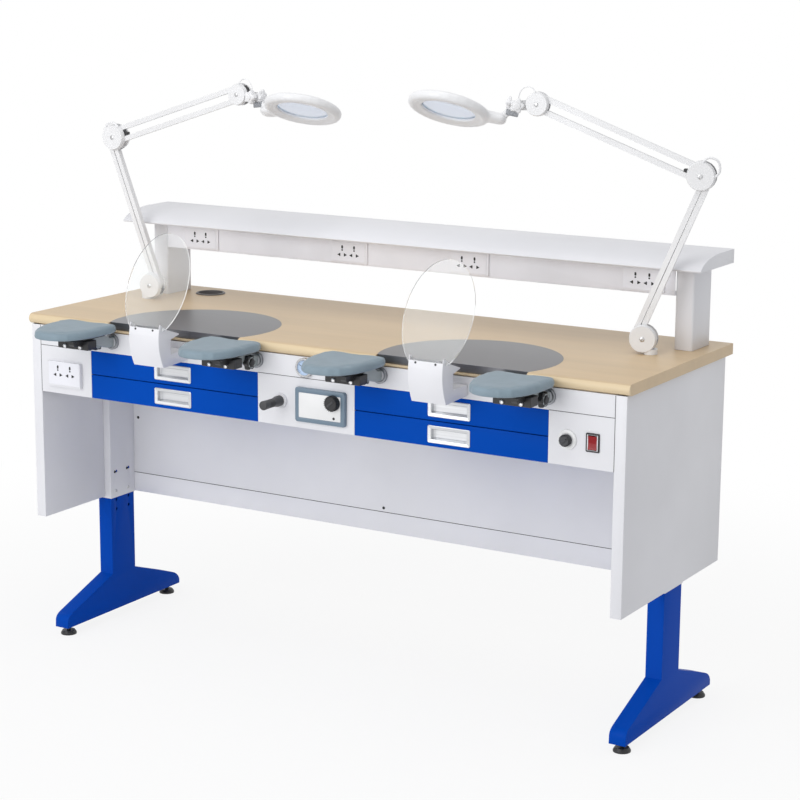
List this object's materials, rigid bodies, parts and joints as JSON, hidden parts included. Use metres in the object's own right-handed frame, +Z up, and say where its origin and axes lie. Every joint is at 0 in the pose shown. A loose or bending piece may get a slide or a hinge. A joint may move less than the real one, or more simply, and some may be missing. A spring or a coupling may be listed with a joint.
{
  "type": "lab workbench",
  "caption": "Two-place lab workbench with drawers, armrests, dust suction shields, a socket shelf, magnifier lamps on jointed arms and height-adjustable legs.",
  "frame": {"origin": "middle of the bench's footprint, on the floor", "axes": "+X along the worktop to the right of someone seated at it, +Y to the back, +Z up"},
  "size_m": [1.6562, 0.75, 1.4066],
  "materials": {
    "black_plastic": "matt",
    "blue_coat": "powder coat",
    "clear_sheet": "polished",
    "dark_metal": "black coat",
    "laminate": "satin laminate",
    "lamp_white": "gloss",
    "lens_glass": "polished",
    "pad_vinyl": "soft matt vinyl",
    "red_plastic": "gloss",
    "steel_plate": "satin",
    "white_coat": "powder coat"
  },
  "bodies": {
    "leg_left": {"leg_left": "blue_coat"},
    "bench": {"cable_grommet": "black_plastic", "control_box": "white_coat", "front_rail": "white_coat", "inset_plate_left": "steel_plate", "inset_plate_right": "steel_plate", "leg_sleeve_left": "white_coat", "leg_sleeve_right": "white_coat", "modesty_panel": "white_coat", "modesty_rail": "white_coat", "shelf": "white_coat", "shelf_post_left": "white_coat", "shelf_post_right": "white_coat", "shield_left": "clear_sheet", "shield_right": "clear_sheet", "side_panel_left": "white_coat", "side_panel_right": "white_coat", "socket_box": "white_coat", "socket_rail": "white_coat", "suction_box_left": "white_coat", "suction_box_right": "white_coat", "switch_box": "white_coat", "worktop": "laminate"},
    "leg_right": {"leg_right": "blue_coat"},
    "leveller_left_front": {"leveller_left_front": "black_plastic"},
    "leveller_left_back": {"leveller_left_back": "black_plastic"},
    "drawer_left_lower": {"drawer_left_lower": "blue_coat"},
    "drawer_left_upper": {"drawer_left_upper": "blue_coat"},
    "lamp_left_base": {"lamp_left_base": "lamp_white"},
    "lamp_left_lower_arm": {"lamp_left_lower_arm": "lamp_white"},
    "lamp_left_elbow": {"lamp_left_elbow": "lamp_white"},
    "lamp_left_upper_bar_top": {"lamp_left_upper_bar_top": "lamp_white"},
    "lamp_left_upper_bar_bottom": {"lamp_left_upper_bar_bottom": "lamp_white"},
    "lamp_left_head_knuckle": {"lamp_left_head_knuckle": "lamp_white"},
    "lamp_left_head": {"lamp_left_head": "lamp_white", "lamp_left_lens": "lens_glass"},
    "leveller_right_front": {"leveller_right_front": "black_plastic"},
    "leveller_right_back": {"leveller_right_back": "black_plastic"},
    "drawer_right_lower": {"drawer_right_lower": "blue_coat"},
    "drawer_right_upper": {"drawer_right_upper": "blue_coat"},
    "lamp_right_base": {"lamp_right_base": "lamp_white"},
    "lamp_right_lower_arm": {"lamp_right_lower_arm": "lamp_white"},
    "lamp_right_elbow": {"lamp_right_elbow": "lamp_white"},
    "lamp_right_upper_bar_top": {"lamp_right_upper_bar_top": "lamp_white"},
    "lamp_right_upper_bar_bottom": {"lamp_right_upper_bar_bottom": "lamp_white"},
    "lamp_right_head_knuckle": {"lamp_right_head_knuckle": "lamp_white"},
    "lamp_right_head": {"lamp_right_head": "lamp_white", "lamp_right_lens": "lens_glass"},
    "armrest_1": {"armrest_arm_1": "dark_metal", "armrest_pad_1": "pad_vinyl"},
    "armrest_2": {"armrest_arm_2": "dark_metal", "armrest_pad_2": "pad_vinyl"},
    "armrest_3": {"armrest_arm_3": "dark_metal", "armrest_pad_3": "pad_vinyl"},
    "armrest_4": {"armrest_arm_4": "dark_metal", "armrest_pad_4": "pad_vinyl"},
    "motor_knob": {"motor_knob": "black_plastic"},
    "selector_knob": {"selector_knob": "black_plastic"},
    "power_rocker": {"power_rocker": "red_plastic"},
    "air_gun": {"air_gun": "black_plastic"}
  },
  "joints": [
    {"name": "bench_height", "type": "slide", "parent": "leg_left", "child": "bench", "axis": [0, 0, 1], "range_m": [0, 0.1]},
    {"name": "leg_right_height", "type": "slide", "parent": "bench", "child": "leg_right", "axis": [0, 0, -1], "range_m": [0, 0.1]},
    {"name": "leveller_left_front_screw", "type": "slide", "parent": "leg_left", "child": "leveller_left_front", "axis": [0, 0, 1], "range_m": [0, 0.01]},
    {"name": "leveller_left_back_screw", "type": "slide", "parent": "leg_left", "child": "leveller_left_back", "axis": [0, 0, 1], "range_m": [0, 0.01]},
    {"name": "leveller_right_front_screw", "type": "slide", "parent": "leg_right", "child": "leveller_right_front", "axis": [0, 0, 1], "range_m": [0, 0.01]},
    {"name": "leveller_right_back_screw", "type": "slide", "parent": "leg_right", "child": "leveller_right_back", "axis": [0, 0, 1], "range_m": [0, 0.01]},
    {"name": "drawer_left_lower_slide", "type": "slide", "parent": "bench", "child": "drawer_left_lower", "axis": [0, -1, 0], "range_m": [0, 0.28]},
    {"name": "drawer_left_upper_slide", "type": "slide", "parent": "bench", "child": "drawer_left_upper", "axis": [0, -1, 0], "range_m": [0, 0.28]},
    {"name": "drawer_right_lower_slide", "type": "slide", "parent": "bench", "child": "drawer_right_lower", "axis": [0, -1, 0], "range_m": [0, 0.28]},
    {"name": "drawer_right_upper_slide", "type": "slide", "parent": "bench", "child": "drawer_right_upper", "axis": [0, -1, 0], "range_m": [0, 0.28]},
    {"name": "armrest_1_swing", "type": "hinge", "parent": "bench", "child": "armrest_1", "pos_m": [-0.54695, -0.181, 0.7875], "axis": [0, 1, 0], "range_deg": [-12, 12]},
    {"name": "armrest_2_swing", "type": "hinge", "parent": "bench", "child": "armrest_2", "pos_m": [-0.13295, -0.181, 0.7875], "axis": [0, 1, 0], "range_deg": [-12, 12]},
    {"name": "armrest_3_swing", "type": "hinge", "parent": "bench", "child": "armrest_3", "pos_m": [0.19695, -0.181, 0.7875], "axis": [0, 1, 0], "range_deg": [-12, 12]},
    {"name": "armrest_4_swing", "type": "hinge", "parent": "bench", "child": "armrest_4", "pos_m": [0.61095, -0.181, 0.7875], "axis": [0, 1, 0], "range_deg": [-12, 12]},
    {"name": "motor_knob_turn", "type": "hinge", "parent": "bench", "child": "motor_knob", "pos_m": [0.0797, -0.189, 0.7115], "axis": [0, 1, 0], "range_deg": [-135, 135]},
    {"name": "selector_knob_turn", "type": "hinge", "parent": "bench", "child": "selector_knob", "pos_m": [0.6589, -0.185, 0.699], "axis": [0, 1, 0], "range_deg": [-60, 60]},
    {"name": "power_rocker_tilt", "type": "hinge", "parent": "bench", "child": "power_rocker", "pos_m": [0.7183, -0.173, 0.6994], "axis": [1, 0, 0], "range_deg": [-8, 8]},
    {"name": "air_gun_pull", "type": "slide", "parent": "bench", "child": "air_gun", "axis": [0, -1, 0], "range_m": [0, 0.08]},
    {"name": "lamp_left_swivel", "type": "hinge", "parent": "bench", "child": "lamp_left_base", "pos_m": [-0.694, 0.153, 0.832], "axis": [0, 0, 1], "range_deg": [-40, 30]},
    {"name": "lamp_left_lower_tilt", "type": "hinge", "parent": "lamp_left_base", "child": "lamp_left_lower_arm", "pos_m": [-0.66181, 0.15367, 0.8715], "axis": [0.0209, -0.9998, 0], "range_deg": [-25, 15]},
    {"name": "lamp_left_elbow_level", "type": "hinge", "parent": "lamp_left_lower_arm", "child": "lamp_left_elbow", "pos_m": [-0.79734, 0.15084, 1.2265], "axis": [0.0209, -0.9998, 0], "range_deg": [-15, 25]},
    {"name": "lamp_left_upper_tilt", "type": "hinge", "parent": "lamp_left_elbow", "child": "lamp_left_upper_bar_top", "pos_m": [-0.77114, 0.15138, 1.2565], "axis": [0.0209, -0.9998, 0], "range_deg": [-20, 35]},
    {"name": "lamp_left_upper_bottom_tilt", "type": "hinge", "parent": "lamp_left_elbow", "child": "lamp_left_upper_bar_bottom", "pos_m": [-0.77114, 0.15138, 1.2265], "axis": [0.0209, -0.9998, 0], "range_deg": [-20, 35]},
    {"name": "lamp_left_head_level", "type": "hinge", "parent": "lamp_left_upper_bar_top", "child": "lamp_left_head_knuckle", "pos_m": [-0.41953, 0.15875, 1.37145], "axis": [0.0209, -0.9998, 0], "range_deg": [-35, 20]},
    {"name": "lamp_left_head_tilt", "type": "hinge", "parent": "lamp_left_head_knuckle", "child": "lamp_left_head", "pos_m": [-0.36354, 0.15992, 1.35245], "axis": [-0.153, -0.9882, 0], "range_deg": [-35, 35]},
    {"name": "lamp_right_swivel", "type": "hinge", "parent": "bench", "child": "lamp_right_base", "pos_m": [0.694, 0.153, 0.832], "axis": [0, 0, 1], "range_deg": [-30, 25]},
    {"name": "lamp_right_lower_tilt", "type": "hinge", "parent": "lamp_right_base", "child": "lamp_right_lower_arm", "pos_m": [0.6626, 0.14587, 0.8715], "axis": [0.2215, -0.9751, 0], "range_deg": [-15, 25]},
    {"name": "lamp_right_elbow_level", "type": "hinge", "parent": "lamp_right_lower_arm", "child": "lamp_right_elbow", "pos_m": [0.80381, 0.17795, 1.22283], "axis": [0.2215, -0.9751, 0], "range_deg": [-25, 15]},
    {"name": "lamp_right_upper_tilt", "type": "hinge", "parent": "lamp_right_elbow", "child": "lamp_right_upper_bar_top", "pos_m": [0.77826, 0.17214, 1.25283], "axis": [0.2215, -0.9751, 0], "range_deg": [-35, 20]},
    {"name": "lamp_right_upper_bottom_tilt", "type": "hinge", "parent": "lamp_right_elbow", "child": "lamp_right_upper_bar_bottom", "pos_m": [0.77826, 0.17214, 1.22283], "axis": [0.2215, -0.9751, 0], "range_deg": [-35, 20]},
    {"name": "lamp_right_head_level", "type": "hinge", "parent": "lamp_right_upper_bar_top", "child": "lamp_right_head_knuckle", "pos_m": [0.44302, 0.09598, 1.38963], "axis": [0.2215, -0.9751, 0], "range_deg": [-20, 35]},
    {"name": "lamp_right_head_tilt", "type": "hinge", "parent": "lamp_right_head_knuckle", "child": "lamp_right_head", "pos_m": [0.38842, 0.08357, 1.37063], "axis": [0.3875, -0.9219, 0], "range_deg": [-35, 35]}
  ],
  "couplings": [
    {"joint": "lamp_left_elbow_level", "follows": "lamp_left_lower_tilt", "ratio": -1},
    {"joint": "lamp_left_upper_bottom_tilt", "follows": "lamp_left_upper_tilt", "ratio": 1},
    {"joint": "lamp_left_head_level", "follows": "lamp_left_upper_tilt", "ratio": -1},
    {"joint": "lamp_right_elbow_level", "follows": "lamp_right_lower_tilt", "ratio": -1},
    {"joint": "lamp_right_upper_bottom_tilt", "follows": "lamp_right_upper_tilt", "ratio": 1},
    {"joint": "lamp_right_head_level", "follows": "lamp_right_upper_tilt", "ratio": -1},
    {"joint": "leg_right_height", "follows": "bench_height", "ratio": 1}
  ]
}
